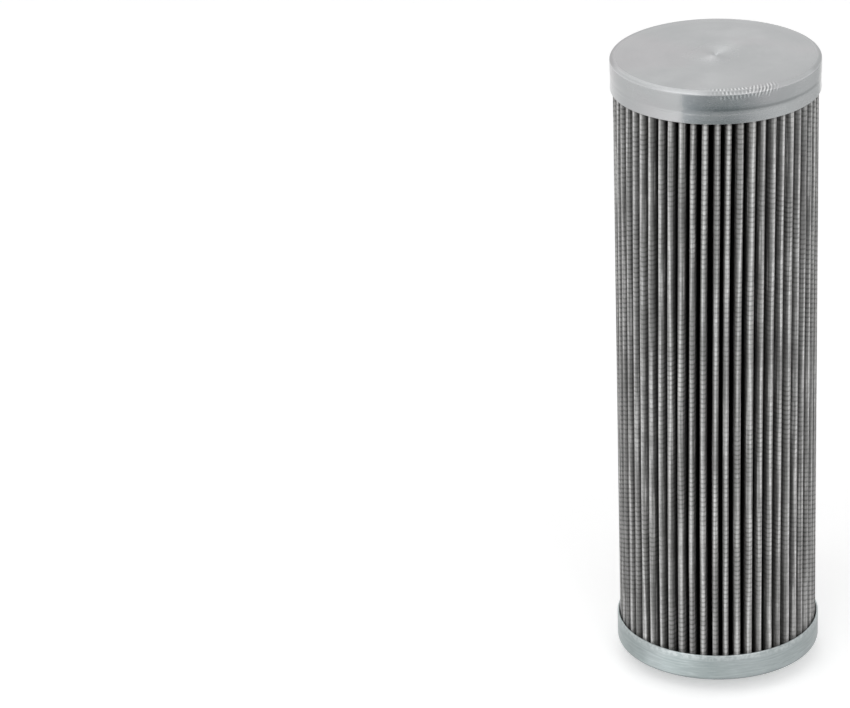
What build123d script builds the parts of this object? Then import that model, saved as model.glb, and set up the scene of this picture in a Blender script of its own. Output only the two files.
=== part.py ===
"""Hydraulic filter cartridge: a pleated wire-cloth and glass-fibre pack between two metal end caps.

Millimetres. The axis is Z. The cartridge stands on the end face of its neck, which lies at z = 0,
and the closed cap is at the top. A valley between two pleats faces -Y, and the pack's side seam is at the back.
"""

from build123d import *
import os
from math import cos, pi, radians, sin, tan

# Whole cartridge: the length is between the flat outer faces of the two caps
cap_radius = 34.0
element_length = 210.0
plate_thickness = 2.0
skirt_wall = 0.6

# Closed cap: below a fine groove its skirt flares out again to a lip
closed_cap_height = 10.7
closed_cap_corner = 0.9
lip_height = 3.6
lip_inset = 0.25
lip_groove_width = 0.5
lathe_mark_radius = 1.3
lathe_mark_depth = 0.4

# Open cap and its stepped neck, whose bore lies this far inside the cap's side
open_cap_height = 9.4
open_cap_corner = 1.2
neck_height = 5.4
neck_wall = 3.4
neck_root_fillet = 1.3
neck_nose_height = 2.4
neck_nose_inset = 0.5
neck_nose_rounding = 1.2
bore_inset = 13.6
bore_chamfer = 0.5
collar_height = 1.5
collar_wall = 1.5

# Seal ring, in the section that it has when squeezed in its groove
seal_groove_start = 1.9
seal_width = 2.5
seal_height = 2.8
seal_chamfer = 0.7
seal_stands_proud = 0.2
seal_end_clearance = 0.1

# Centre tube of perforated sheet
core_wall = 0.8
core_collar_clearance = 0.1
core_hole_width = 6.0
core_hole_sides = 6
core_hole_columns = 5
core_hole_pitch = 30.0

# Adhesive beds in the caps
bed_depth = 2.6
bed_bond_gap = 0.02

# Pleated pack, from the outside in
pleat_count = 54
fold_gap = 0.15
pleat_skirt_clearance = 0.35
pleat_core_clearance = 0.2
outer_mesh_thickness = 0.25
medium_thickness = 0.4
inner_mesh_thickness = 0.25

# Side seam clip
clip_wall = 0.35
clip_depth = 4.0
clip_clearance = 0.02
seam_overlap = 0.3

# Chords that stand for each round stretch
rounding_chords = 2
outer_tip_chords = 6
medium_tip_chords = 2
inner_tip_chords = 2

# Heights of faces and edges
open_face_z = neck_height
open_plate_z = open_face_z + plate_thickness
open_skirt_z = open_face_z + open_cap_height
collar_z = open_plate_z + collar_height
closed_face_z = open_face_z + element_length
closed_plate_z = closed_face_z - plate_thickness
closed_skirt_z = closed_face_z - closed_cap_height
pack_bottom_z = open_plate_z + bed_depth
pack_top_z = closed_plate_z - bed_depth
seal_bottom_z = seal_groove_start + seal_end_clearance
seal_top_z = seal_bottom_z + seal_height

# Radii of walls and folds
skirt_inner_radius = cap_radius - skirt_wall
bore_radius = cap_radius - bore_inset
seal_inner_radius = bore_radius - seal_stands_proud
seal_outer_radius = seal_inner_radius + seal_width
collar_radius = bore_radius + collar_wall
core_inner_radius = collar_radius + core_collar_clearance
core_outer_radius = core_inner_radius + core_wall
pack_thickness = outer_mesh_thickness + medium_thickness + inner_mesh_thickness
valley_radius = core_outer_radius + pleat_core_clearance + pack_thickness
tip_radius = skirt_inner_radius - pleat_skirt_clearance

# A pleat in its own plane, outward along its middle and sideways from it
half_pitch = pi / pleat_count
tip_rounding = pack_thickness + fold_gap
tip_centre = tip_radius - tip_rounding
valley_outward = valley_radius * cos(half_pitch)
valley_sideways = valley_radius * sin(half_pitch)
leg_slope = (valley_sideways - tip_rounding) / (tip_centre - valley_outward)
leg_stretch = (1 + leg_slope**2) ** 0.5
seam_cut = tip_centre + seam_overlap


def rounded(corners):
    """Section points, with each corner that has a rounding replaced by chords of its arc."""
    points = []
    for index, (radius, height, rounding) in enumerate(corners):
        corner = Vector(radius, 0, height)
        if not rounding:
            points.append(corner)
            continue
        before_radius, before_height, _ = corners[index - 1]
        after_radius, after_height, _ = corners[(index + 1) % len(corners)]
        back = (Vector(before_radius, 0, before_height) - corner).normalized()
        ahead = (Vector(after_radius, 0, after_height) - corner).normalized()
        half_angle = radians(back.get_angle(ahead)) / 2
        reach = rounding / tan(half_angle)
        centre = corner + (back + ahead).normalized() * (rounding / sin(half_angle))
        middle = centre + (corner - centre).normalized() * rounding
        arc = ThreePointArc(corner + back * reach, middle, corner + ahead * reach)
        points.extend(arc @ (step / rounding_chords) for step in range(rounding_chords + 1))
    return points


def turned(corners):
    """Solid of revolution about Z from its section's corners: radius, height and rounding of each."""
    section = make_face(Polyline(rounded(corners), close=True))
    return revolve(section, axis=Axis.Z)


def closed_end_cap():
    """Cup with a flat closed end, a lathe centre mark and a groove above its flared lip."""
    groove_bottom_z = closed_skirt_z + lip_height
    groove_top_z = groove_bottom_z + lip_groove_width
    groove_radius = cap_radius - lip_inset
    return turned([
        (0, closed_face_z - lathe_mark_depth, 0),
        (lathe_mark_radius, closed_face_z, 0),
        (cap_radius, closed_face_z, closed_cap_corner),
        (cap_radius, groove_top_z, 0),
        (groove_radius, (groove_top_z + groove_bottom_z) / 2, 0),
        (groove_radius, groove_bottom_z, 0),
        (cap_radius, closed_skirt_z, 0),
        (skirt_inner_radius, closed_skirt_z, 0),
        (skirt_inner_radius, closed_plate_z, 0),
        (0, closed_plate_z, 0),
    ])


def open_end_cap():
    """Cup with a stepped neck, whose bore holds the seal groove and ends in a collar for the centre tube."""
    neck_radius = bore_radius + neck_wall
    nose_radius = neck_radius - neck_nose_inset
    groove_top_z = seal_top_z + seal_end_clearance
    return turned([
        (bore_radius + bore_chamfer, 0, 0),
        (nose_radius, 0, neck_nose_rounding),
        (nose_radius, neck_nose_height, 0),
        (neck_radius, neck_nose_height + neck_nose_inset, 0),
        (neck_radius, open_face_z, neck_root_fillet),
        (cap_radius, open_face_z, open_cap_corner),
        (cap_radius, open_skirt_z, 0),
        (skirt_inner_radius, open_skirt_z, 0),
        (skirt_inner_radius, open_plate_z, 0),
        (collar_radius, open_plate_z, 0),
        (collar_radius, collar_z, 0),
        (bore_radius, collar_z, 0),
        (bore_radius, groove_top_z, 0),
        (seal_outer_radius, groove_top_z, 0),
        (seal_outer_radius, seal_groove_start, 0),
        (bore_radius, seal_groove_start, 0),
        (bore_radius, bore_chamfer, 0),
    ])


def neck_seal():
    """Rubber ring, seated on the bottom of its groove and standing a little into the bore."""
    return turned([
        (seal_inner_radius, seal_bottom_z + seal_chamfer, 0),
        (seal_inner_radius + seal_chamfer, seal_bottom_z, 0),
        (seal_outer_radius - seal_chamfer, seal_bottom_z, 0),
        (seal_outer_radius, seal_bottom_z + seal_chamfer, 0),
        (seal_outer_radius, seal_top_z - seal_chamfer, 0),
        (seal_outer_radius - seal_chamfer, seal_top_z, 0),
        (seal_inner_radius + seal_chamfer, seal_top_z, 0),
        (seal_inner_radius, seal_top_z - seal_chamfer, 0),
    ])


def tube(inner, outer, low, high):
    """Plain tube about Z between two heights."""
    return turned([(inner, low, 0), (outer, low, 0), (outer, high, 0), (inner, high, 0)])


def core_tube():
    """Centre tube between the cap plates, with rows of holes, every second row turned half a step."""
    body = tube(core_inner_radius, core_outer_radius, open_plate_z, closed_plate_z)
    rows = int((closed_plate_z - open_plate_z - core_hole_pitch) / core_hole_pitch) + 1
    first_z = (open_plate_z + closed_plate_z - core_hole_pitch * (rows - 1)) / 2
    punch = Pos(0, 0, core_inner_radius - core_wall) * extrude(
        RegularPolygon(core_hole_width / 2, core_hole_sides), 3 * core_wall
    )
    step = 360 / core_hole_columns
    holes = []
    for row in range(rows):
        for column in range(core_hole_columns):
            turn = step * (column + 0.5 * (row % 2))
            holes.append(Pos(0, 0, first_z + row * core_hole_pitch) * Rot(0, 0, turn) * Rot(0, 90, 0) * punch)
    return body - holes


def adhesive_bed(low, high):
    """Ring of cured adhesive that fills a cap between its skirt and the centre tube."""
    return tube(core_outer_radius + bed_bond_gap, skirt_inner_radius - bed_bond_gap, low, high)


def on_pleat(index, outward, sideways):
    """Point of a pleat, along its middle plane and across it. Pleat 0 is the seam, half a pitch past +Y."""
    angle = pi / 2 + half_pitch * (2 * index + 1)
    x = outward * cos(angle) - sideways * sin(angle)
    y = outward * sin(angle) + sideways * cos(angle)
    return Vector(x, y, 0)


def leg_side(offset, outward):
    """How far a leg's surface lies from the middle plane, on the sheet surface this deep below the outside."""
    return tip_rounding + (tip_centre - outward) * leg_slope - offset * leg_stretch


def root_corner(offset):
    """Where a leg meets the flat bottom of its fold, outward and sideways, on the surface at this depth."""
    bottom = valley_radius - offset
    side_at_axis = leg_side(offset, 0)
    outward = (bottom - side_at_axis * sin(half_pitch)) / (cos(half_pitch) - leg_slope * sin(half_pitch))
    return outward, leg_side(offset, outward)


def tip_points(index, offset, chords):
    """Corners of one fold's tip across the pleat, as chords of the half circle at this depth."""
    rounding = tip_rounding - offset
    turns = [pi * step / chords for step in range(chords + 1)]
    return [on_pleat(index, tip_centre + rounding * sin(turn), -rounding * cos(turn)) for turn in turns]


def sheet_surface(offset, chords):
    """Edges of one surface of the folded sheet, from one side of the seam round to the other."""
    outward, sideways = root_corner(offset)
    points = [on_pleat(0, seam_cut, leg_side(offset, seam_cut))]
    for index in range(1, pleat_count + 1):
        points.append(on_pleat(index - 1, outward, sideways))
        if offset:
            points.append(on_pleat(index, outward, -sideways))
        if index < pleat_count:
            points.extend(tip_points(index, offset, chords))
    points.append(on_pleat(pleat_count, seam_cut, -leg_side(offset, seam_cut)))
    return [Line(start, end) for start, end in zip(points, points[1:])]


def pack_tall(section):
    """Section extruded over the height of the pack."""
    return Pos(0, 0, pack_bottom_z) * extrude(section, pack_top_z - pack_bottom_z, dir=(0, 0, 1))


def folded_sheet(outer_surface, inner_surface):
    """One sheet of the pack between two of its surfaces, cut square at the seam."""
    seam_ends = [
        Line(outer_surface[-1] @ 1, inner_surface[-1] @ 1),
        Line(inner_surface[0] @ 0, outer_surface[0] @ 0),
    ]
    return pack_tall(make_face(Wire(outer_surface + inner_surface + seam_ends)))


def clip_side(depth, foot, web):
    """Points down one side of the clip, round its web and up the other side."""
    return [
        on_pleat(0, foot, leg_side(depth, foot)),
        on_pleat(0, web, leg_side(depth, web)),
        on_pleat(0, web, -leg_side(depth, web)),
        on_pleat(0, foot, -leg_side(depth, foot)),
    ]


def seam_clip():
    """Channel of folded strip that pinches the two ends of the pack together."""
    web_inside = seam_cut + clip_clearance
    web_outside = web_inside + clip_wall
    foot = web_outside - clip_depth
    inner_side = clip_side(-clip_clearance, foot, web_inside)
    outer_side = clip_side(-clip_clearance - clip_wall, foot, web_outside)
    return pack_tall(make_face(Polyline(inner_side + outer_side[::-1], close=True)))


pack_outside = sheet_surface(0, outer_tip_chords)
medium_outside = sheet_surface(outer_mesh_thickness, medium_tip_chords)
medium_inside = sheet_surface(outer_mesh_thickness + medium_thickness, inner_tip_chords)
pack_inside = sheet_surface(pack_thickness, 1)

parts = {
    "closed_end_cap": closed_end_cap(),
    "open_end_cap": open_end_cap(),
    "neck_seal": neck_seal(),
    "core_tube": core_tube(),
    "upper_adhesive_bed": adhesive_bed(pack_top_z, closed_plate_z),
    "lower_adhesive_bed": adhesive_bed(open_plate_z, pack_bottom_z),
    "outer_mesh": folded_sheet(pack_outside, medium_outside),
    "filter_medium": folded_sheet(medium_outside, medium_inside),
    "inner_mesh": folded_sheet(medium_inside, pack_inside),
    "seam_clip": seam_clip(),
}

os.makedirs("parts", exist_ok=True)
for name, solid in parts.items():
    export_step(solid, f"parts/{name}.step")
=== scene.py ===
"""Looks of the hydraulic filter cartridge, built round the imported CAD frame.

Lengths are in millimetres and angles in radians where nothing else is said. A mesh is turned into metres
where it is made. The studio and its camera are in metres.
"""

import math
import random

import bpy
from mathutils import Matrix, Vector


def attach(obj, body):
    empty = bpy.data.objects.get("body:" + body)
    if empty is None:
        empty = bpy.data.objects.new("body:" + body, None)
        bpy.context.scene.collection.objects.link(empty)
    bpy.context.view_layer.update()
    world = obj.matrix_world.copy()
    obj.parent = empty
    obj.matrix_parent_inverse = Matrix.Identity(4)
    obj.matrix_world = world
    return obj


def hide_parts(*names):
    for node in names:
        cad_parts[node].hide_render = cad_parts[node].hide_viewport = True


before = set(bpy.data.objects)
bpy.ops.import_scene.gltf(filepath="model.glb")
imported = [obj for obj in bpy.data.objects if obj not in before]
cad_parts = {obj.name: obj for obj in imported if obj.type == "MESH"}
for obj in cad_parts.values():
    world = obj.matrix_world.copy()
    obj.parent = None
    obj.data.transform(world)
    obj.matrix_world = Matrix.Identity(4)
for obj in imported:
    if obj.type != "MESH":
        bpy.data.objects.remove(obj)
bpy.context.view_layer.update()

MM = 0.001
PER_METRE = 1000.0

# Driving values of the CAD part
CAP_RADIUS = 34.0
SKIRT_INNER = 33.4
CLOSED_FACE = 215.4
CLOSED_PLATE = 213.4
CLOSED_SKIRT = 204.7
OPEN_FACE = 5.4
OPEN_PLATE = 7.4
OPEN_SKIRT = 14.8
COLLAR_TOP = 8.9
COLLAR_RADIUS = 21.9
BORE_RADIUS = 20.4
NECK_RADIUS = 23.8
NOSE_RADIUS = 23.3
SEAL_INNER = 20.2
SEAL_OUTER = 22.7
SEAL_LOW = 2.0
SEAL_HIGH = 4.8
GROOVE_LOW = 1.9
GROOVE_HIGH = 4.9
PACK_LOW = 10.0
PACK_HIGH = 210.8
PLEATS = 54
HALF_PITCH = math.pi / PLEATS
TIP_ROUNDING = 1.05
TIP_CENTRE = 32.0
VALLEY = 23.9
SEAM_CUT = 32.3
CLOTH_THICKNESS = 0.25
FLEECE_THICKNESS = 0.4

# The caps stay this far inside the CAD's box
INSIDE_CAD = 0.01
CAP_SIDE = CAP_RADIUS - INSIDE_CAD
CLOSED_TOP = CLOSED_FACE - INSIDE_CAD
NOSE_END = INSIDE_CAD

# Heights on the closed cap's skirt: the flared lip ends, a ledge lies over it, and then a shallow groove
LIP_TOP = CLOSED_SKIRT + 2.95
LEDGE = CLOSED_SKIRT + 3.15
GROOVE_FLOOR = CLOSED_SKIRT + 4.3
GROOVE_MIDDLE = CLOSED_SKIRT + 4.6
GROOVE_RISE = CLOSED_SKIRT + 4.9
GROOVE_TOP = CLOSED_SKIRT + 6.0

# Dimple in the middle of the closed cap's face
DIMPLE_RADIUS = 1.3
DIMPLE_DEPTH = 0.4

# Step of the neck, and the opening of its bore
NOSE_TOP = 2.4
NECK_LOW = 2.9
BORE_CHAMFER = 0.5

# Distances between the upright wires of the cloth, and between its level ones
STRAND_PITCH = 0.66
ROW_PITCH = 1.7
WEAVE_MAP = "weave"

# Turn of the photo's viewpoint round the axis, past the valley that faces -Y
FRONT_TURN = math.radians(2.0)

# Plate of the two caps, and the painted shadow, highlights and shade that lie on it
CLOSED_LIGHT = (0.435, 0.443, 0.447)
CLOSED_DARK = (0.40, 0.41, 0.415)
OPEN_LIGHT = (0.39, 0.442, 0.443)
OPEN_DARK = (0.34, 0.385, 0.386)
FOOT_SHADOW = (0.16, 0.17, 0.17)
KNURL_RIDGE_HIGHLIGHT = (0.9, 0.91, 0.91)
KNURL_FURROW_SHADE = (0.18, 0.19, 0.19)
GROOVE_SHADE = (0.14, 0.155, 0.155)

# Wire cloth, and the radii between which painted shade darkens its folds
CLOTH_DARK = (0.135, 0.134, 0.131)
CLOTH_LIGHT = (0.31, 0.308, 0.303)
CLOTH_GAP = (0.07, 0.069, 0.067)
# Bright wire, also used for painted highlights
BRIGHT_WIRE_AND_HIGHLIGHT = (0.90, 0.895, 0.885)
FOLD_SHADE = (0.006, 0.006, 0.006)
FOLD_BLACK = 29.5
FOLD_CLEAR = 32.8


# Materials


class Shade:
    """A node material, built one value at a time.

    The place is the object's own coordinate in metres. The radius and the height are in millimetres, and the
    turn is the angle round the axis from +X. Colour, roughness and bumps add up until the finish.
    """

    def __init__(self, name, **surface):
        self.material = bpy.data.materials.new(name)
        self.material.use_nodes = True
        self.tree = self.material.node_tree
        self.bsdf = self.tree.nodes["Principled BSDF"]
        for key, value in surface.items():
            words = [word if word.isupper() else word.capitalize() for word in key.split("_")]
            self.bsdf.inputs[" ".join(words)].default_value = value
        self.colour = None
        self.roughness = None
        self.bumps = None
        self.place = self.node("ShaderNodeTexCoord").outputs["Object"]
        self.x, self.y, z = self.parts(self.place)
        squares = self.plus(self.times(self.x, self.x), self.times(self.y, self.y))
        self.radius = self.times(self.math("SQRT", squares), PER_METRE)
        self.turn = self.math("ARCTAN2", self.y, self.x)
        self.height = self.times(z, PER_METRE)

    def node(self, kind, **settings):
        made = self.tree.nodes.new(kind)
        for key, value in settings.items():
            setattr(made, key, value)
        return made

    def plug(self, socket, value):
        """Links a socket to another one, or sets its number or colour."""
        if isinstance(value, bpy.types.NodeSocket):
            self.tree.links.new(value, socket)
        else:
            socket.default_value = value

    def parts(self, vector):
        """The three parts of a vector."""
        made = self.node("ShaderNodeSeparateXYZ")
        self.plug(made.inputs[0], vector)
        return tuple(made.outputs)

    def math(self, operation, first, second=0.0, third=0.0, clamp=False):
        made = self.node("ShaderNodeMath", operation=operation, use_clamp=clamp)
        for socket, value in zip(made.inputs, (first, second, third)):
            self.plug(socket, value)
        return made.outputs[0]

    def plus(self, first, second):
        return self.math("ADD", first, second)

    def minus(self, first, second):
        return self.math("SUBTRACT", first, second)

    def times(self, first, second):
        return self.math("MULTIPLY", first, second)

    def noise(self, vector, scale, detail=3.0, roughness=0.55):
        made = self.node("ShaderNodeTexNoise")
        self.plug(made.inputs["Vector"], vector)
        made.inputs["Scale"].default_value = scale
        made.inputs["Detail"].default_value = detail
        made.inputs["Roughness"].default_value = roughness
        return made.outputs[0]

    def drawn_noise(self, *axes, scale=1.0, detail=3.0, roughness=0.55):
        """Noise over up to three values, each with its own number of waves, which draws it into lines."""
        vector = self.node("ShaderNodeCombineXYZ")
        for socket, (value, waves) in zip(vector.inputs, axes):
            self.plug(socket, self.times(value, waves))
        return self.noise(vector.outputs[0], scale, detail, roughness)

    def spread(self, value, low, high, to_low=0.0, to_high=1.0):
        """Smooth step of a value: to_low up to low, and to_high from high on."""
        made = self.node("ShaderNodeMapRange", interpolation_type="SMOOTHSTEP")
        for index, number in enumerate((value, low, high, to_low, to_high)):
            self.plug(made.inputs[index], number)
        return made.outputs[0]

    def mix(self, share, first, second):
        """Mix of two colours or of two values."""
        made = self.node("ShaderNodeMix", data_type="RGBA")
        self.plug(made.inputs[0], share)
        for socket, value in ((made.inputs[6], first), (made.inputs[7], second)):
            self.plug(socket, (*value, 1.0) if isinstance(value, tuple) else value)
        return made.outputs[2]

    def paint(self, share, colour):
        """Lays a colour over the colour so far, by this share."""
        self.colour = self.mix(share, self.colour, colour)

    def emboss(self, relief, depth):
        """Adds a bump, this deep in millimetres, to the bumps so far."""
        made = self.node("ShaderNodeBump")
        made.inputs["Strength"].default_value = 1.0
        made.inputs["Distance"].default_value = depth * MM
        self.plug(made.inputs["Height"], relief)
        if self.bumps is not None:
            self.plug(made.inputs["Normal"], self.bumps)
        self.bumps = made.outputs[0]

    def finish(self):
        """The material, with what was made for it plugged in."""
        made = {"Base Color": self.colour, "Roughness": self.roughness, "Normal": self.bumps}
        for name, value in made.items():
            if value is not None:
                self.plug(self.bsdf.inputs[name], value)
        return self.material


def scaled(colour, *factors):
    """A colour with each channel times its own factor, or all times one."""
    if len(factors) == 1:
        factors *= len(colour)
    return tuple(channel * factor for channel, factor in zip(colour, factors))


def turned_plate(name, light, dark, rough):
    """Zinc plate over turned steel: fine tool rings that stretch its gloss, cloudy tint and scuffs."""
    shade = Shade(name, metallic=1.0, anisotropic=0.65, anisotropic_rotation=0.25)
    rings_run = shade.node("ShaderNodeTangent", direction_type="RADIAL", axis="Z")
    shade.plug(shade.bsdf.inputs["Tangent"], rings_run.outputs[0])
    rings = shade.drawn_noise((shade.radius, 5.0), (shade.height, 7.0), detail=2.0)
    cloud = shade.noise(shade.place, 60.0, 4.0)
    tint = shade.noise(shade.place, 34.0, 2.0)
    scuff_axes = (shade.turn, 9.0), (shade.height, 3.0), (shade.radius, 0.8)
    scuffs = shade.drawn_noise(*scuff_axes, scale=1.6, detail=6.0, roughness=0.7)
    worn_grey = (light[0] * 1.15,) * 3
    shade.colour = shade.mix(shade.spread(cloud, 0.32, 0.7), dark, light)
    shade.paint(shade.spread(tint, 0.42, 0.62, 0.0, 0.4), scaled(light, 1.02, 0.955, 0.975))
    shade.paint(shade.spread(rings, 0.35, 0.7, 0.0, 0.16), scaled(light, 0.8))
    shade.paint(shade.spread(scuffs, 0.58, 0.75, 0.0, 0.35), worn_grey)
    cloudy = shade.spread(cloud, 0.3, 0.7, rough - 0.04, rough + 0.05)
    shade.roughness = shade.plus(cloudy, shade.spread(scuffs, 0.5, 0.8, 0.0, 0.12))
    shade.emboss(rings, 0.005)
    shade.emboss(scuffs, 0.003)
    return shade


def add_knurl(shade, front):
    """Worn knurling over a short stretch of the edge, crossed on its left and slanted on its right; its
    ridges carry painted highlights and its furrows painted shade.
    """
    stroke_waves = 27.0 * math.tau
    row_waves = 1.3
    slant = 1.6
    on_face = shade.spread(shade.radius, 29.8, 31.2)
    on_side = shade.spread(shade.height, CLOSED_FACE - 3.6, CLOSED_FACE - 1.4)
    stretch = shade.times(shade.spread(front, -0.22, 0.02), shade.spread(front, 0.42, 0.64, 1.0, 0.0))
    over_edge = shade.plus(shade.minus(shade.radius, shade.height), CLOSED_FACE - CAP_RADIUS)
    rows = shade.times(over_edge, row_waves)
    strokes = shade.times(shade.turn, stroke_waves)
    slanted = shade.math("SINE", shade.math("MULTIPLY_ADD", rows, slant, strokes))
    crossed = shade.times(shade.math("SINE", strokes), shade.math("COSINE", rows))
    to_right = shade.spread(front, 0.2, 0.34)
    cut = shade.plus(shade.times(slanted, to_right), shade.times(crossed, shade.minus(1.0, to_right)))
    worn = shade.spread(shade.noise(shade.place, 420.0, 2.0), 0.35, 0.6, 0.25, 1.0)
    cut = shade.times(shade.times(cut, worn), shade.times(shade.times(on_face, on_side), stretch))
    # Painted highlights on the ridges and painted shade in the furrows
    shade.paint(shade.spread(cut, 0.0, 0.8, 0.0, 0.52), KNURL_RIDGE_HIGHLIGHT)
    shade.paint(shade.spread(cut, -0.9, 0.0, 0.55, 0.0), KNURL_FURROW_SHADE)
    shade.emboss(cut, 0.04)


def add_corner_highlight(shade, front):
    """Painted highlight on the corner, to the left and to the right of the knurling."""
    from_corner = shade.minus(CAP_RADIUS + CLOSED_FACE, shade.plus(shade.radius, shade.height))
    to_left = shade.times(shade.spread(front, -1.5, -1.2), shade.spread(front, -0.3, -0.05, 1.0, 0.0))
    to_right = shade.times(shade.spread(front, 0.4, 0.6), shade.spread(front, 1.0, 1.15, 0.7, 0.0))
    # Painted highlight on the corner
    corner_highlight = shade.times(shade.plus(to_left, to_right), shade.spread(from_corner, 0.75, 1.4, 0.3, 0.0))
    shade.paint(corner_highlight, scaled(CLOSED_LIGHT, 1.9))


def add_lip_sheen(shade, front):
    """Painted sheen: lighter and darker stretches of the lip, below the groove."""
    waves = shade.math("COSINE", shade.math("MULTIPLY_ADD", front, 6.2, 3.2))
    share = shade.math("MULTIPLY_ADD", waves, 0.12, 0.11)
    below_groove = shade.spread(shade.height, CLOSED_SKIRT + 3.4, CLOSED_SKIRT + 3.9, 1.0, 0.0)
    # Painted sheen on the lip
    shade.paint(shade.times(share, below_groove), scaled(CLOSED_LIGHT, 1.5))


def add_groove_shade(shade, front):
    """Painted shade in the skirt's groove, right of the front."""
    off_groove = shade.math("ABSOLUTE", shade.minus(shade.height, GROOVE_MIDDLE))
    stretch = shade.times(shade.spread(front, -0.4, 0.1), shade.spread(front, 2.2, 3.2, 1.0, 0.0))
    # Painted shade in the groove
    shade.paint(shade.times(stretch, shade.spread(off_groove, 0.1, 0.85, 0.42, 0.0)), GROOVE_SHADE)


def add_centre_mark(shade):
    """Grooves that the lathe left round the centre, and a face that is smoothest halfway to its rim."""
    groove_pitch = 0.42
    grooves = shade.math("SINE", shade.times(shade.radius, math.tau / groove_pitch))
    off_dimple = shade.spread(shade.radius, 0.6, 1.4)
    near_centre = shade.times(off_dimple, shade.spread(shade.radius, 2.0, 7.0, 1.0, 0.0))
    shade.emboss(shade.times(grooves, near_centre), 0.016)
    on_face = shade.spread(shade.height, CLOSED_FACE - 1.0, CLOSED_FACE - 0.5)
    inside = shade.spread(shade.radius, 2.0, 15.0, 0.09, -0.1)
    at_edge = shade.spread(shade.radius, 32.3, 33.2, 0.08, 0.3)
    rougher = shade.mix(shade.spread(shade.radius, 31.8, 32.6), inside, at_edge)
    shade.roughness = shade.math("MULTIPLY_ADD", on_face, rougher, shade.roughness)


def closed_cap_plate():
    """Plate with a worn knurling that carries painted highlights and shade, a painted highlight on the
    corner, painted sheen on the lip, painted shade in the groove and the lathe's mark in the middle.
    """
    shade = turned_plate("closed_cap_plate", CLOSED_LIGHT, CLOSED_DARK, rough=0.25)
    front = shade.plus(shade.turn, math.pi / 2 - FRONT_TURN)
    add_knurl(shade, front)
    add_corner_highlight(shade, front)
    add_lip_sheen(shade, front)
    add_groove_shade(shade, front)
    add_centre_mark(shade)
    return shade.finish()


def open_cap_plate():
    """Plate with drawn streaks, a painted shadow where it meets the step, and a mottled painted highlight
    along its upper edge.
    """
    shade = turned_plate("open_cap_plate", OPEN_LIGHT, OPEN_DARK, rough=0.36)
    streak_share = 0.4
    streaks = shade.drawn_noise((shade.turn, 5.0), (shade.height, 1.9), (shade.radius, 1.0), roughness=0.6)
    shade.paint(shade.spread(streaks, 0.3, 0.55, streak_share, 0.0), scaled(OPEN_DARK, 0.72, 0.74, 0.75))
    shade.paint(shade.spread(streaks, 0.5, 0.72, 0.0, streak_share), scaled(OPEN_LIGHT, 1.35, 1.32, 1.32))
    # Painted shadow where the cap meets the step
    shade.paint(shade.spread(shade.height, OPEN_FACE + 0.2, OPEN_FACE + 1.5, 0.6, 0.0), FOOT_SHADOW)
    # Mottled painted highlight along the upper edge
    speckle = shade.spread(shade.noise(shade.place, 900.0, 2.0), 0.38, 0.62, 0.1, 0.6)
    upper_edge_highlight = shade.spread(shade.height, OPEN_SKIRT - 2.6, OPEN_SKIRT - 0.9)
    shade.paint(shade.times(speckle, upper_edge_highlight), scaled(OPEN_LIGHT, 1.5, 1.4, 1.4))
    return shade.finish()


def wire_back(shade, position):
    """Round back of a wire, for a position counted in wires: 1 along its middle and 0 at its edges."""
    off = shade.math("MULTIPLY_ADD", shade.math("FRACT", position), 2.0, -1.0)
    return shade.math("SQRT", shade.math("SUBTRACT", 1.0, shade.times(off, off), clamp=True))


def lot(shade, number, along, sheet):
    """Random value that a wire or pleat has by its number, changing along it; each sheet is another draw."""
    far_apart = 17.31
    return shade.drawn_noise((number, far_apart), along, (sheet, 1.0), detail=1.0)


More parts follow.
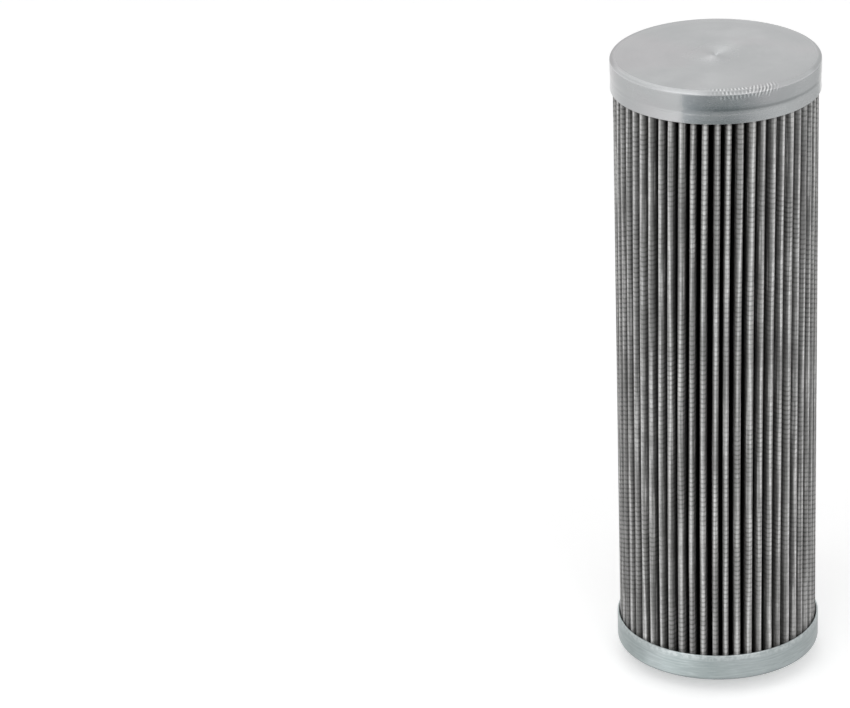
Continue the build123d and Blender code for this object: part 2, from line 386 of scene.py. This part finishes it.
def wire_cloth(first_tip, pleat_length):
    """Woven wire over the fleece: upright strands, level rows, painted highlights near the pleats' tips, and
    painted shade down in the folds.

    The lengths along the cloth say where its first tip lies and how far apart the tips are.
    """
    shade = Shade("wire_cloth_weave", metallic=0.12, specular_IOR_level=0.35)
    radius, turn, height = shade.radius, shade.turn, shade.height
    along_cloth, up_cloth, _ = shade.parts(shade.node("ShaderNodeUVMap", uv_map=WEAVE_MAP).outputs[0])
    wander = shade.times(shade.minus(shade.noise(shade.place, 70.0, 2.0), 0.5), 0.5)
    strands = shade.plus(shade.times(along_cloth, PER_METRE / STRAND_PITCH), wander)
    rows = shade.plus(shade.times(up_cloth, PER_METRE / ROW_PITCH), wander)
    strand = shade.math("FLOOR", strands)
    row = shade.math("FLOOR", rows)
    strand_back = wire_back(shade, strands)
    row_back = wire_back(shade, rows)

    past_first = shade.math("MULTIPLY_ADD", along_cloth, PER_METRE, -first_tip)
    pleat = shade.math("FLOOR", shade.math("MULTIPLY_ADD", past_first, 1.0 / pleat_length, 0.5))
    from_tip = shade.math("WRAP", past_first, pleat_length / 2, -pleat_length / 2)
    pleat_lot = lot(shade, pleat, (height, 0.02), 5.0)
    strand_lot = lot(shade, strand, (height, 0.025), 0.0)
    bead_lot = lot(shade, strand, (row, 1.0), 3.0)
    row_lot = lot(shade, row, (turn, 1.5), 8.0)
    line_lot = lot(shade, pleat, (height, 0.012), 11.0)
    patch = shade.drawn_noise((pleat, 3.7), (height, 0.09), (2.0, 1.0), detail=2.0)
    grain = shade.noise(shade.place, 1300.0, 2.0)
    relief = shade.drawn_noise((turn, 1.6), (height, 0.03), (4.0, 1.0), detail=2.0)
    relief = shade.spread(relief, 0.38, 0.6, 0.3, 1.0)

    # Painted highlights: light lines that run up the pleats near their tips, and light crests
    line_place = shade.math("MULTIPLY_ADD", line_lot, 2.6, -1.3)
    off_line = shade.math("ABSOLUTE", shade.minus(from_tip, line_place))
    highlight_line = shade.spread(off_line, 0.16, 0.46, 1.0, 0.0)
    highlight_line = shade.times(highlight_line, shade.spread(pleat_lot, 0.3, 0.58, 0.3, 1.0))
    crest_highlight = shade.spread(radius, 32.75, 33.03, 0.0, 0.45)
    crest_highlight = shade.times(crest_highlight, shade.spread(pleat_lot, 0.36, 0.6, 0.15, 1.0))

    shade.colour = shade.mix(shade.spread(strand_lot, 0.34, 0.66), CLOTH_DARK, CLOTH_LIGHT)
    shade.paint(shade.spread(strand_lot, 0.56, 0.68, 0.0, 0.6), BRIGHT_WIRE_AND_HIGHLIGHT)
    shade.paint(shade.math("MAXIMUM", crest_highlight, highlight_line), BRIGHT_WIRE_AND_HIGHLIGHT)
    shade.paint(shade.spread(bead_lot, 0.35, 0.7, 0.22, 0.0), CLOTH_GAP)
    shade.paint(shade.spread(row_lot, 0.35, 0.65, 0.22, 0.0), CLOTH_GAP)
    # Lighter backs of the level wires: painted highlight
    shade.paint(shade.times(shade.spread(row_back, 0.55, 1.0, 0.0, 0.14), relief), BRIGHT_WIRE_AND_HIGHLIGHT)
    # Random dark patches, stronger down the pleats than on their tips: partly painted shade
    off_tips = shade.math("MULTIPLY_ADD", shade.spread(radius, 32.1, 32.9), -0.7, 1.0)
    shade.paint(shade.times(shade.spread(patch, 0.32, 0.62, 0.3, 0.0), off_tips), CLOTH_GAP)
    shade.paint(shade.times(shade.spread(row_back, 0.4, 0.97, 0.42, 0.0), relief), CLOTH_GAP)
    shade.paint(shade.spread(strand_back, 0.1, 0.7, 0.4, 0.0), CLOTH_GAP)
    shade.paint(shade.spread(grain, 0.3, 0.7, 0.0, 0.2), CLOTH_GAP)
    # Painted shade: the cloth goes black down in the folds
    shade.colour = shade.mix(shade.spread(radius, FOLD_BLACK, FOLD_CLEAR), FOLD_SHADE, shade.colour)

    shade.emboss(shade.plus(shade.times(strand_back, 0.6), shade.times(row_back, 0.4)), 0.09)
    shade.roughness = shade.spread(strand_back, 0.0, 1.0, 0.52, 0.34)
    return shade.finish()


def seal_rubber():
    """Black rubber with a faint bloom."""
    shade = Shade("neck_seal_rubber", roughness=0.45)
    bloom = shade.noise(shade.place, 220.0, 4.0)
    shade.colour = shade.mix(shade.spread(bloom, 0.45, 0.75), (0.016, 0.014, 0.013), (0.032, 0.029, 0.027))
    shade.roughness = shade.spread(bloom, 0.3, 0.7, 0.38, 0.55)
    shade.emboss(shade.noise(shade.place, 2600.0, 2.0), 0.01)
    return shade.finish()


def core_steel():
    """Rolled steel sheet under a thin brown film of oil."""
    shade = Shade("core_tube_steel", metallic=0.9)
    rolled = shade.drawn_noise((shade.turn, 60.0), (shade.height, 0.25), (shade.radius, 1.0), detail=4.0)
    film = shade.noise(shade.place, 45.0, 3.0)
    shade.colour = shade.mix(shade.spread(rolled, 0.3, 0.7), (0.30, 0.29, 0.28), (0.46, 0.45, 0.44))
    shade.paint(shade.spread(film, 0.4, 0.7, 0.0, 0.5), (0.22, 0.15, 0.11))
    shade.roughness = shade.spread(rolled, 0.3, 0.7, 0.32, 0.5)
    shade.emboss(rolled, 0.02)
    return shade.finish()


def cured_adhesive(name):
    """Dark cast resin with swirls and fine pits."""
    shade = Shade(name, roughness=0.5)
    swirl = shade.noise(shade.place, 300.0, 4.0)
    shade.colour = shade.mix(shade.spread(swirl, 0.35, 0.7), (0.055, 0.055, 0.055), (0.13, 0.13, 0.125))
    shade.roughness = shade.spread(swirl, 0.3, 0.7, 0.35, 0.6)
    shade.emboss(shade.noise(shade.place, 1500.0, 2.0), 0.05)
    return shade.finish()


def fleece():
    """White glass fibres that run up and down the folds."""
    shade = Shade("glass_fibre_fleece", roughness=0.9)
    fibre_axes = (shade.radius, 3.0), (shade.turn, 110.0), (shade.height, 1.0)
    fibres = shade.drawn_noise(*fibre_axes, scale=2.0, detail=5.0, roughness=0.7)
    shade.colour = shade.mix(shade.spread(fibres, 0.3, 0.7), (0.66, 0.65, 0.61), (0.86, 0.85, 0.82))
    shade.emboss(fibres, 0.1)
    return shade.finish()


def inner_cloth():
    """Wire cloth on the clean side, where no view comes close."""
    shade = Shade("inner_mesh_weave", metallic=0.7)
    pitch = 0.8
    middle_radius = 23.0
    level = shade.math("SINE", shade.times(shade.height, math.tau / pitch))
    upright = shade.math("SINE", shade.times(shade.turn, middle_radius * math.tau / pitch))
    woven = shade.math("MAXIMUM", level, upright)
    shade.colour = shade.mix(shade.spread(woven, -0.2, 0.9), (0.07, 0.068, 0.064), (0.42, 0.41, 0.39))
    shade.roughness = shade.spread(woven, -1.0, 1.0, 0.6, 0.4)
    shade.emboss(woven, 0.08)
    return shade.finish()


def clip_steel():
    """Rolled strip with a few stains."""
    shade = Shade("seam_clip_steel", metallic=1.0)
    rolled = shade.drawn_noise((shade.turn, 400.0), (shade.height, 0.12), (shade.radius, 1.0), detail=4.0)
    stain = shade.noise(shade.place, 120.0, 3.0)
    shade.colour = shade.mix(shade.spread(rolled, 0.3, 0.7), (0.30, 0.30, 0.29), (0.46, 0.46, 0.45))
    shade.paint(shade.spread(stain, 0.5, 0.75, 0.0, 0.5), (0.30, 0.29, 0.27))
    shade.roughness = shade.spread(stain, 0.3, 0.7, 0.3, 0.48)
    shade.emboss(rolled, 0.02)
    return shade.finish()


# Caps and seal ring, turned from their sections

CAP_SEGMENTS = 288
SEAL_SEGMENTS = 216
CORNER_STEPS = 8
LONGEST_RUN = 4.0
ON_AXIS = 1e-6
METAL_SHARP = math.radians(35.0)
SOFT_SHARP = math.radians(60.0)
CLOTH_SHARP = math.radians(50.0)


def piece(name, mesh_data, material, replaced, sharp):
    """Object of a mesh in millimetres, with its finish and the CAD node that it stands for.

    Edges that turn by more than the angle sharp are drawn sharp.
    """
    vertices, faces = mesh_data
    mesh = bpy.data.meshes.new(name)
    mesh.from_pydata([(x * MM, y * MM, z * MM) for x, y, z in vertices], [], faces)
    mesh.validate()
    mesh.shade_smooth()
    mesh.set_sharp_from_angle(angle=sharp)
    mesh.materials.append(material)
    made = bpy.data.objects.new(name, mesh)
    bpy.context.scene.collection.objects.link(made)
    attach(made, "root")
    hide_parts(replaced)
    return made


def rounded(corners):
    """Closed section of corners, each a radius, a height and the rounding that its arc has."""
    points = []
    for index, (radius, height, rounding) in enumerate(corners):
        corner = Vector((radius, height))
        if not rounding:
            points.append(corner)
            continue
        before = (Vector(corners[index - 1][:2]) - corner).normalized()
        after = (Vector(corners[(index + 1) % len(corners)][:2]) - corner).normalized()
        half = before.angle(after) / 2
        reach = rounding / math.tan(half)
        centre = corner + (before + after).normalized() * (rounding / math.sin(half))
        start = corner + before * reach - centre
        end = corner + after * reach - centre
        sweep = math.atan2(start.x * end.y - start.y * end.x, start.dot(end))
        for step in range(CORNER_STEPS + 1):
            turn = sweep * step / CORNER_STEPS
            points.append(centre + Vector((
                start.x * math.cos(turn) - start.y * math.sin(turn),
                start.x * math.sin(turn) + start.y * math.cos(turn),
            )))
    return [(point.x, point.y) for point in points]


def add_steps(section):
    """Section with long straight runs divided, so that faces stay even."""
    points = []
    for index, (radius, height) in enumerate(section):
        end_radius, end_height = section[(index + 1) % len(section)]
        length = math.hypot(end_radius - radius, end_height - height)
        parts = max(1, math.ceil(length / LONGEST_RUN)) if max(radius, end_radius) > ON_AXIS else 1
        for part in range(parts):
            share = part / parts
            points.append((radius + (end_radius - radius) * share, height + (end_height - height) * share))
    return points


def lathe(section, segments):
    """Vertices and faces of a closed section turned round the axis; points on the axis become one vertex."""
    vertices, faces, rings = [], [], []
    for radius, height in section:
        if radius < ON_AXIS:
            rings.append([len(vertices)] * segments)
            vertices.append((0.0, 0.0, height))
            continue
        rings.append(list(range(len(vertices), len(vertices) + segments)))
        for step in range(segments):
            turn = math.tau * step / segments
            vertices.append((radius * math.cos(turn), radius * math.sin(turn), height))
    for index, ring in enumerate(rings):
        below = rings[(index + 1) % len(rings)]
        if ring[0] == ring[1] and below[0] == below[1]:
            continue
        for step in range(segments):
            after = (step + 1) % segments
            face = [ring[step], below[step], below[after], ring[after]]
            faces.append(tuple(dict.fromkeys(face)))
    return vertices, faces


def closed_cap():
    """Cup with a flat face: from inside its plate, round the lip and up past the groove to the centre."""
    section = rounded([
        (0.0, CLOSED_PLATE, 0),
        (SKIRT_INNER, CLOSED_PLATE, 0),
        (SKIRT_INNER, CLOSED_SKIRT, 0),
        (CAP_RADIUS - 0.02, CLOSED_SKIRT, 0.12),
        (CAP_RADIUS - 0.19, LIP_TOP, 0.05),
        (CAP_RADIUS - 0.12, LEDGE, 0.05),
        (CAP_RADIUS - 0.17, GROOVE_FLOOR, 0.05),
        (CAP_RADIUS - 0.09, GROOVE_RISE, 0.1),
        (CAP_SIDE, GROOVE_TOP, 0.1),
        (CAP_SIDE, CLOSED_TOP, 1.15),
        (DIMPLE_RADIUS, CLOSED_TOP, 0.25),
        (0.0, CLOSED_FACE - DIMPLE_DEPTH, 0),
    ])
    turned = lathe(add_steps(section), CAP_SEGMENTS)
    piece("closed_cap", turned, closed_cap_plate(), "closed_end_cap", METAL_SHARP)


def open_cap():
    """Cup with a stepped neck: from the nose, round the skirt and down the bore past the seal's groove."""
    section = rounded([
        (BORE_RADIUS + BORE_CHAMFER, NOSE_END, 0.15),
        (NOSE_RADIUS, NOSE_END, 1.2),
        (NOSE_RADIUS, NOSE_TOP, 0.1),
        (NECK_RADIUS, NECK_LOW, 0.1),
        (NECK_RADIUS, OPEN_FACE, 1.3),
        (CAP_SIDE, OPEN_FACE, 1.2),
        (CAP_SIDE, OPEN_SKIRT, 0.42),
        (SKIRT_INNER, OPEN_SKIRT, 0.1),
        (SKIRT_INNER, OPEN_PLATE, 0),
        (COLLAR_RADIUS, OPEN_PLATE, 0),
        (COLLAR_RADIUS, COLLAR_TOP, 0.1),
        (BORE_RADIUS, COLLAR_TOP, 0.1),
        (BORE_RADIUS, GROOVE_HIGH, 0.08),
        (SEAL_OUTER, GROOVE_HIGH, 0),
        (SEAL_OUTER, GROOVE_LOW, 0),
        (BORE_RADIUS, GROOVE_LOW, 0.08),
        (BORE_RADIUS, BORE_CHAMFER, 0.1),
    ])
    turned = lathe(add_steps(section[::-1]), CAP_SEGMENTS)
    piece("open_cap", turned, open_cap_plate(), "open_end_cap", METAL_SHARP)


def seal_ring():
    """Ring whose squeezed section lies between a round and a square one."""
    points, squareness = 28, 0.72
    middle_radius, half_width = (SEAL_INNER + SEAL_OUTER) / 2, (SEAL_OUTER - SEAL_INNER) / 2
    middle_height, half_height = (SEAL_LOW + SEAL_HIGH) / 2, (SEAL_HIGH - SEAL_LOW) / 2

    def squared(value):
        return math.copysign(abs(value) ** squareness, value)

    section = []
    for step in range(points):
        turn = -math.tau * step / points
        radius = middle_radius + half_width * squared(math.cos(turn))
        section.append((radius, middle_height + half_height * squared(math.sin(turn))))
    turned = lathe(section[::-1], SEAL_SEGMENTS)
    piece("seal_ring", turned, seal_rubber(), "neck_seal", SOFT_SHARP)


# Pleated pack of three sheets that share their fold surfaces

LEG_SLOPE = (VALLEY * math.sin(HALF_PITCH) - TIP_ROUNDING) / (TIP_CENTRE - VALLEY * math.cos(HALF_PITCH))
LEG_STRETCH = math.hypot(1.0, LEG_SLOPE)
LEG_STEPS = 5
CLOTH_TIP_STEPS = 12
LINING_TIP_STEPS = 6
CLOTH_ROWS = 22
LINING_ROWS = 14
CLOTH_CLEARANCE = 0.02
FLEECE_CLEARANCE = 0.01
FLEECE_DEPTH = CLOTH_THICKNESS + FLEECE_THICKNESS
PACK_THICKNESS = FLEECE_DEPTH + CLOTH_THICKNESS
ON_MIDDLE = 1e-9

# Sideways shift of the tips low down, and how much it grows to the top; it fades next to the seam
TWIST_LOW = -0.45
TWIST_RISE = 1.6
SEAM_NEIGHBOURS = 4

# Waves of the tips' sway, and of their reach, over the pack's height
SWAY_WAVES = 1.3
REACH_WAVES = 0.8

# Share of its lean that a pleat has at the caps, and what it gains between them
LEAN_AT_CAPS = 0.6
LEAN_BETWEEN = 0.4

# Ranges of each pleat's lean, widening, phase, sway and reach
HABIT_RANGES = (-0.2, 0.2), (-0.13, 0.12), (0, math.tau), (0.02, 0.09), (-0.06, 0.03)
HABIT_SEED = 54

rng = random.Random(HABIT_SEED)
habits = [[rng.uniform(*limits) for limits in HABIT_RANGES] for _ in range(PLEATS + 1)]


def leg_side(offset, outward):
    """Distance of a leg's surface from its pleat's middle, at this distance from the axis."""
    return TIP_ROUNDING + (TIP_CENTRE - outward) * LEG_SLOPE - offset * LEG_STRETCH


def root_corner(offset):
    """Outward and sideways place where a leg meets the next pleat's leg or the flat root."""
    bottom = VALLEY - offset
    fall = math.cos(HALF_PITCH) - LEG_SLOPE * math.sin(HALF_PITCH)
    outward = (bottom - leg_side(offset, 0) * math.sin(HALF_PITCH)) / fall
    return outward, leg_side(offset, outward)


def on_pleat(index, outward, sideways):
    """Place of a point that is given by its pleat, its distance outward and its distance sideways."""
    angle = math.pi / 2 + HALF_PITCH * (2 * index + 1)
    return (
        outward * math.cos(angle) - sideways * math.sin(angle),
        outward * math.sin(angle) + sideways * math.cos(angle),
    )


def bent(index, outward, sideways, share):
    """Place of a fold's point at this share of the pack's height, after the pleat's own habits."""
    lean, widen, phase, sway, reach = habits[index]
    free = min(1.0, max(0.0, (outward - VALLEY) / (TIP_CENTRE - VALLEY)))
    if index in (0, PLEATS):
        free = 0.0
    off_caps = math.sin(math.pi * min(1.0, max(0.0, share))) ** 0.5
    off_seam = min(1.0, min(index, PLEATS - index) / SEAM_NEIGHBOURS)
    twist = (TWIST_LOW + TWIST_RISE * share ** 2) * off_seam
    swayed = sway * math.sin(math.tau * share * SWAY_WAVES + phase)
    reached = reach * (0.5 + 0.5 * math.sin(math.tau * share * REACH_WAVES + phase))
    shift = free * (twist + lean * (LEAN_AT_CAPS + LEAN_BETWEEN * off_caps) + swayed)
    return on_pleat(index, outward + free * reached, sideways * (1.0 + free * widen) + shift)


def fold_points(offset, tip_steps, flat_root):
    """Places along one surface of a sheet, from seam to seam: pleat, outward, sideways."""
    root, root_side = root_corner(offset)
    tip_size = TIP_ROUNDING - offset
    climb = [root + (TIP_CENTRE - root) * step / LEG_STEPS for step in range(1, LEG_STEPS)]
    to_cut = [root + (SEAM_CUT - root) * step / LEG_STEPS for step in range(1, LEG_STEPS + 1)]
    from_cut = [SEAM_CUT + (root - SEAM_CUT) * step / LEG_STEPS for step in range(LEG_STEPS)]
    points = [(0, outward, leg_side(offset, outward)) for outward in from_cut]
    for index in range(1, PLEATS + 1):
        points.append((index - 1, root, root_side))
        if flat_root:
            points.append((index, root, -root_side))
        rise = to_cut if index == PLEATS else climb
        points.extend((index, outward, -leg_side(offset, outward)) for outward in rise)
        if index < PLEATS:
            for step in range(tip_steps + 1):
                turn = math.pi * step / tip_steps
                points.append((index, TIP_CENTRE + tip_size * math.sin(turn), -tip_size * math.cos(turn)))
            points.extend((index, outward, leg_side(offset, outward)) for outward in reversed(climb))
    return points


def sheet_mesh(outside, inside, rows):
    """Closed mesh of one folded sheet between two of its surfaces."""
    count, top = len(outside), rows - 1
    vertices = []
    for surface in (outside, inside):
        for row in range(rows):
            share = row / top
            z = PACK_LOW + (PACK_HIGH - PACK_LOW) * share
            vertices.extend((*bent(*point, share), z) for point in surface)

    def at(surface, row, column):
        return (surface * rows + row) * count + column

    faces = []
    end = count - 1
    for row in range(top):
        up = row + 1
        for i in range(end):
            faces.append((at(0, row, i), at(0, row, i + 1), at(0, up, i + 1), at(0, up, i)))
            faces.append((at(1, row, i + 1), at(1, row, i), at(1, up, i), at(1, up, i + 1)))
        faces.append((at(0, row, 0), at(0, up, 0), at(1, up, 0), at(1, row, 0)))
        faces.append((at(0, up, end), at(0, row, end), at(1, row, end), at(1, up, end)))
    for i in range(end):
        faces.append((at(0, 0, i + 1), at(0, 0, i), at(1, 0, i), at(1, 0, i + 1)))
        faces.append((at(0, top, i), at(0, top, i + 1), at(1, top, i + 1), at(1, top, i)))
    return vertices, faces


def lengths_along(points):
    """Length of the flat sheet up to each point, before the pleats bend."""
    flat = [on_pleat(*point) for point in points]
    lengths = [0.0]
    for start, end in zip(flat, flat[1:]):
        lengths.append(lengths[-1] + math.dist(start, end))
    return lengths


def outer_wire_cloth():
    """Outer sheet, with a map of how far along and how high up the cloth each point lies, in metres."""
    outside = fold_points(0.0, CLOTH_TIP_STEPS, False)
    inside = fold_points(CLOTH_THICKNESS - CLOTH_CLEARANCE, CLOTH_TIP_STEPS, False)
    lengths = lengths_along(outside)
    tips = [length for length, (_, _, sideways) in zip(lengths, outside) if abs(sideways) < ON_MIDDLE]
    material = wire_cloth(tips[0], tips[1] - tips[0])
    mesh_data = sheet_mesh(outside, inside, CLOTH_ROWS)
    cloth = piece("outer_wire_cloth", mesh_data, material, "outer_mesh", CLOTH_SHARP)
    weave = cloth.data.uv_layers.new(name=WEAVE_MAP)
    for loop in cloth.data.loops:
        along = lengths[loop.vertex_index % len(outside)]
        weave.data[loop.index].uv = (along * MM, cloth.data.vertices[loop.vertex_index].co.z)


def lining(name, material, replaced, outside_depth, inside_depth):
    """One of the sheets behind the cloth, between two depths of the fold."""
    surfaces = [fold_points(depth, LINING_TIP_STEPS, True) for depth in (outside_depth, inside_depth)]
    piece(name, sheet_mesh(*surfaces, LINING_ROWS), material, replaced, CLOTH_SHARP)


# CAD nodes that stay


def dress(node, material):
    """Gives a CAD node that stays its own finish."""
    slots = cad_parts[node].material_slots
    if not slots:
        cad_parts[node].data.materials.append(material)
    for held in slots:
        held.material = material


# Studio, in metres

PHOTO_WIDTH_PX = 850
FOCAL_PX = 4157.1
SENSOR_MM = 36.0
VIEW_END = 20.0
CAMERA_LEAN = -0.0328
CAMERA_TILT = 0.4314
FOOT_FROM_CAMERA = (2.9351, 2.7881, 41.691)
FLOOR_REACH = 3.0
FLOOR_DEPTH = 0.00002
CARD_HEIGHT = 0.0005
CARD_STEPS = 40
WORLD_LIGHT = 0.5


def camera_from_photo():
    """Pinhole camera fitted to the outlines of the standing element.

    The foot is the middle of the open cap's face. Its place before the camera is right, down and away, in
    cap radii. The lean and the tilt turn the cartridge's axis in the camera's view.
    """
    up = Vector((
        math.sin(CAMERA_LEAN),
        -math.cos(CAMERA_LEAN) * math.cos(CAMERA_TILT),
        -math.cos(CAMERA_LEAN) * math.sin(CAMERA_TILT),
    ))
    away = Vector((0.0, 0.0, 1.0))
    ahead = (away - up * away.dot(up)).normalized()
    turn = Matrix((ahead.cross(up), ahead, up))
    flip = Matrix(((1, 0, 0), (0, -1, 0), (0, 0, -1)))
    foot = Vector(FOOT_FROM_CAMERA) * (CAP_RADIUS * MM)
    where = Vector((0, 0, OPEN_FACE * MM)) - turn @ foot
    data = bpy.data.cameras.new("photo_camera")
    data.sensor_width = SENSOR_MM
    data.lens = FOCAL_PX / PHOTO_WIDTH_PX * SENSOR_MM
    data.clip_end = VIEW_END
    camera = bpy.data.objects.new("photo_camera", data)
    to_front = Matrix.Rotation(FRONT_TURN, 4, "Z")
    camera.matrix_world = to_front @ Matrix.Translation(where) @ (turn @ flip).to_4x4()
    bpy.context.scene.collection.objects.link(camera)
    bpy.context.scene.camera = camera


def area_light(name, place, aim_height, size, power):
    """Soft lamp of this size in metres and this power in watts, which faces the axis at the aim's height."""
    data = bpy.data.lights.new(name, "AREA")
    data.shape = "RECTANGLE"
    data.size, data.size_y = size
    data.energy = power
    lamp = bpy.data.objects.new(name, data)
    aim = Vector((0.0, 0.0, aim_height)) - Vector(place)
    lamp.matrix_world = Matrix.Translation(Vector(place)) @ aim.to_track_quat("-Z", "Y").to_matrix().to_4x4()
    bpy.context.scene.collection.objects.link(lamp)
    return lamp


def flat_stage(name, corners, material):
    """Flat face that belongs to the studio and not to the object."""
    mesh = bpy.data.meshes.new(name)
    mesh.from_pydata(corners, [], [tuple(range(len(corners)))])
    mesh.materials.append(material)
    made = bpy.data.objects.new(name, mesh)
    bpy.context.scene.collection.objects.link(made)
    return made


def seen_or_mirrored(tree):
    """1 for rays from the camera and for mirrored and refracted ones."""
    path = tree.nodes.new("ShaderNodeLightPath")
    total = path.outputs["Is Camera Ray"]
    for name in ("Is Glossy Ray", "Is Transmission Ray"):
        add = tree.nodes.new("ShaderNodeMath")
        add.operation = "MAXIMUM"
        tree.links.new(total, add.inputs[0])
        tree.links.new(path.outputs[name], add.inputs[1])
        total = add.outputs[0]
    return total


def pale_floor():
    """Pale surface that also glows where it is seen or mirrored, and more so farther off."""
    shade = Shade("pale_floor", roughness=0.8)
    speck = shade.noise(shade.place, 14.0, 4.0)
    shade.colour = shade.mix(shade.spread(speck, 0.3, 0.7), (0.90, 0.90, 0.90), (0.93, 0.93, 0.93))
    material = shade.finish()
    glow = shade.node("ShaderNodeEmission")
    glow.inputs["Color"].default_value = (1.0, 1.0, 1.0, 1.0)
    strength = shade.spread(shade.radius, 600.0, 2400.0, 0.38, 0.85)
    shade.plug(glow.inputs["Strength"], shade.times(seen_or_mirrored(shade.tree), strength))
    both = shade.node("ShaderNodeAddShader")
    shade.plug(both.inputs[0], shade.bsdf.outputs[0])
    shade.plug(both.inputs[1], glow.outputs[0])
    output = next(node for node in shade.tree.nodes if node.type == "OUTPUT_MATERIAL")
    shade.plug(output.inputs["Surface"], both.outputs[0])
    return material


def floor():
    """Square floor just under the neck's end."""
    reach, low = FLOOR_REACH, -FLOOR_DEPTH
    corners = [(-reach, -reach, low), (reach, -reach, low), (reach, reach, low), (-reach, reach, low)]
    flat_stage("floor", corners, pale_floor())


def white_world():
    """Even light that is seen and mirrored as white."""
    world = bpy.data.worlds.new("studio")
    world.use_nodes = True
    bpy.context.scene.world = world
    tree = world.node_tree
    background = tree.nodes["Background"]
    background.inputs["Color"].default_value = (1.0, 1.0, 1.0, 1.0)
    level = tree.nodes.new("ShaderNodeMapRange")
    tree.links.new(seen_or_mirrored(tree), level.inputs["Value"])
    level.inputs["To Min"].default_value = WORLD_LIGHT
    level.inputs["To Max"].default_value = 1.0
    tree.links.new(level.outputs[0], background.inputs["Strength"])


def far_card_glow(shade, turn):
    """Glow of the far card, which stands for a dark room in front of the cartridge in reflections: lighter
    to both sides and farther out.
    """
    colour = shade.mix(shade.spread(turn, -0.72, -0.15), (0.62, 0.68, 0.71), (0.20, 0.25, 0.265))
    colour = shade.mix(shade.spread(turn, 0.1, 1.15), colour, (0.78, 0.81, 0.81))
    colour = shade.mix(shade.spread(turn, 1.1, 1.6), colour, (0.88, 0.89, 0.89))
    colour = shade.mix(shade.spread(turn, 2.0, 2.4), colour, (0.72, 0.73, 0.73))
    return shade.mix(shade.spread(shade.radius, 500.0, 800.0, 0.0, 0.2), colour, (0.95, 0.95, 0.95))


def near_card_glow(shade, turn):
    """Glow of the card close to the foot, brightest to the left and darker to the right."""
    colour = shade.mix(shade.spread(turn, -1.3, -0.9), (0.86, 0.86, 0.86), (1.45, 1.45, 1.45))
    colour = shade.mix(shade.spread(turn, -0.75, -0.1), colour, (1.0, 1.0, 1.0))
    return shade.mix(shade.spread(turn, 0.3, 2.2), colour, (0.7, 0.7, 0.7))


def reflector(name, near, far, first, last, colour):
    """Low glowing card round the foot, which only reflections see; it runs between two turns past the front.
    """
    shade = Shade(name, roughness=1.0, base_color=(0.0, 0.0, 0.0, 1.0), specular_IOR_level=0.0)
    past_front = shade.minus(shade.math("ARCTAN2", shade.x, shade.times(shade.y, -1.0)), FRONT_TURN)
    shade.plug(shade.bsdf.inputs["Emission Color"], colour(shade, past_front))
    shade.bsdf.inputs["Emission Strength"].default_value = 1.0
    turns = [FRONT_TURN + first + (last - first) * step / CARD_STEPS for step in range(CARD_STEPS + 1)]
    corners = [(near * math.sin(turn), -near * math.cos(turn), CARD_HEIGHT) for turn in turns]
    corners += [(far * math.sin(turn), -far * math.cos(turn), CARD_HEIGHT) for turn in reversed(turns)]
    card = flat_stage(name, corners, shade.finish())
    card.visible_camera = False
    card.visible_shadow = False
    card.visible_diffuse = False


closed_cap()
open_cap()
seal_ring()
outer_wire_cloth()
fleece_outside = CLOTH_THICKNESS
fleece_inside = FLEECE_DEPTH - FLEECE_CLEARANCE
lining("folded_fleece", fleece(), "filter_medium", fleece_outside, fleece_inside)
lining("inner_wire_cloth", inner_cloth(), "inner_mesh", FLEECE_DEPTH, PACK_THICKNESS)
dress("core_tube", core_steel())
dress("upper_adhesive_bed", cured_adhesive("upper_bed_adhesive"))
dress("lower_adhesive_bed", cured_adhesive("lower_bed_adhesive"))
dress("seam_clip", clip_steel())

camera_from_photo()
white_world()
floor()
reflector("far_card", near=0.22, far=1.3, first=-0.7, last=2.6, colour=far_card_glow)
reflector("near_card", near=0.038, far=0.2, first=-2.6, last=2.6, colour=near_card_glow)

area_light("key", place=(-0.64, -0.76, 1.05), aim_height=0.12, size=(1.2, 1.2), power=4.4)
area_light("fill", place=(0.6, -1.0, 0.8), aim_height=0.1, size=(0.8, 0.9), power=2.6)
front_lamp = area_light("front", place=(0.1, -1.2, 0.7), aim_height=0.1, size=(0.8, 0.6), power=2.6)
front_lamp.visible_glossy = False
area_light("back", place=(-0.16, 1.0, 1.15), aim_height=0.2, size=(0.45, 0.35), power=1.05)

bpy.context.scene.view_settings.view_transform = "Standard"
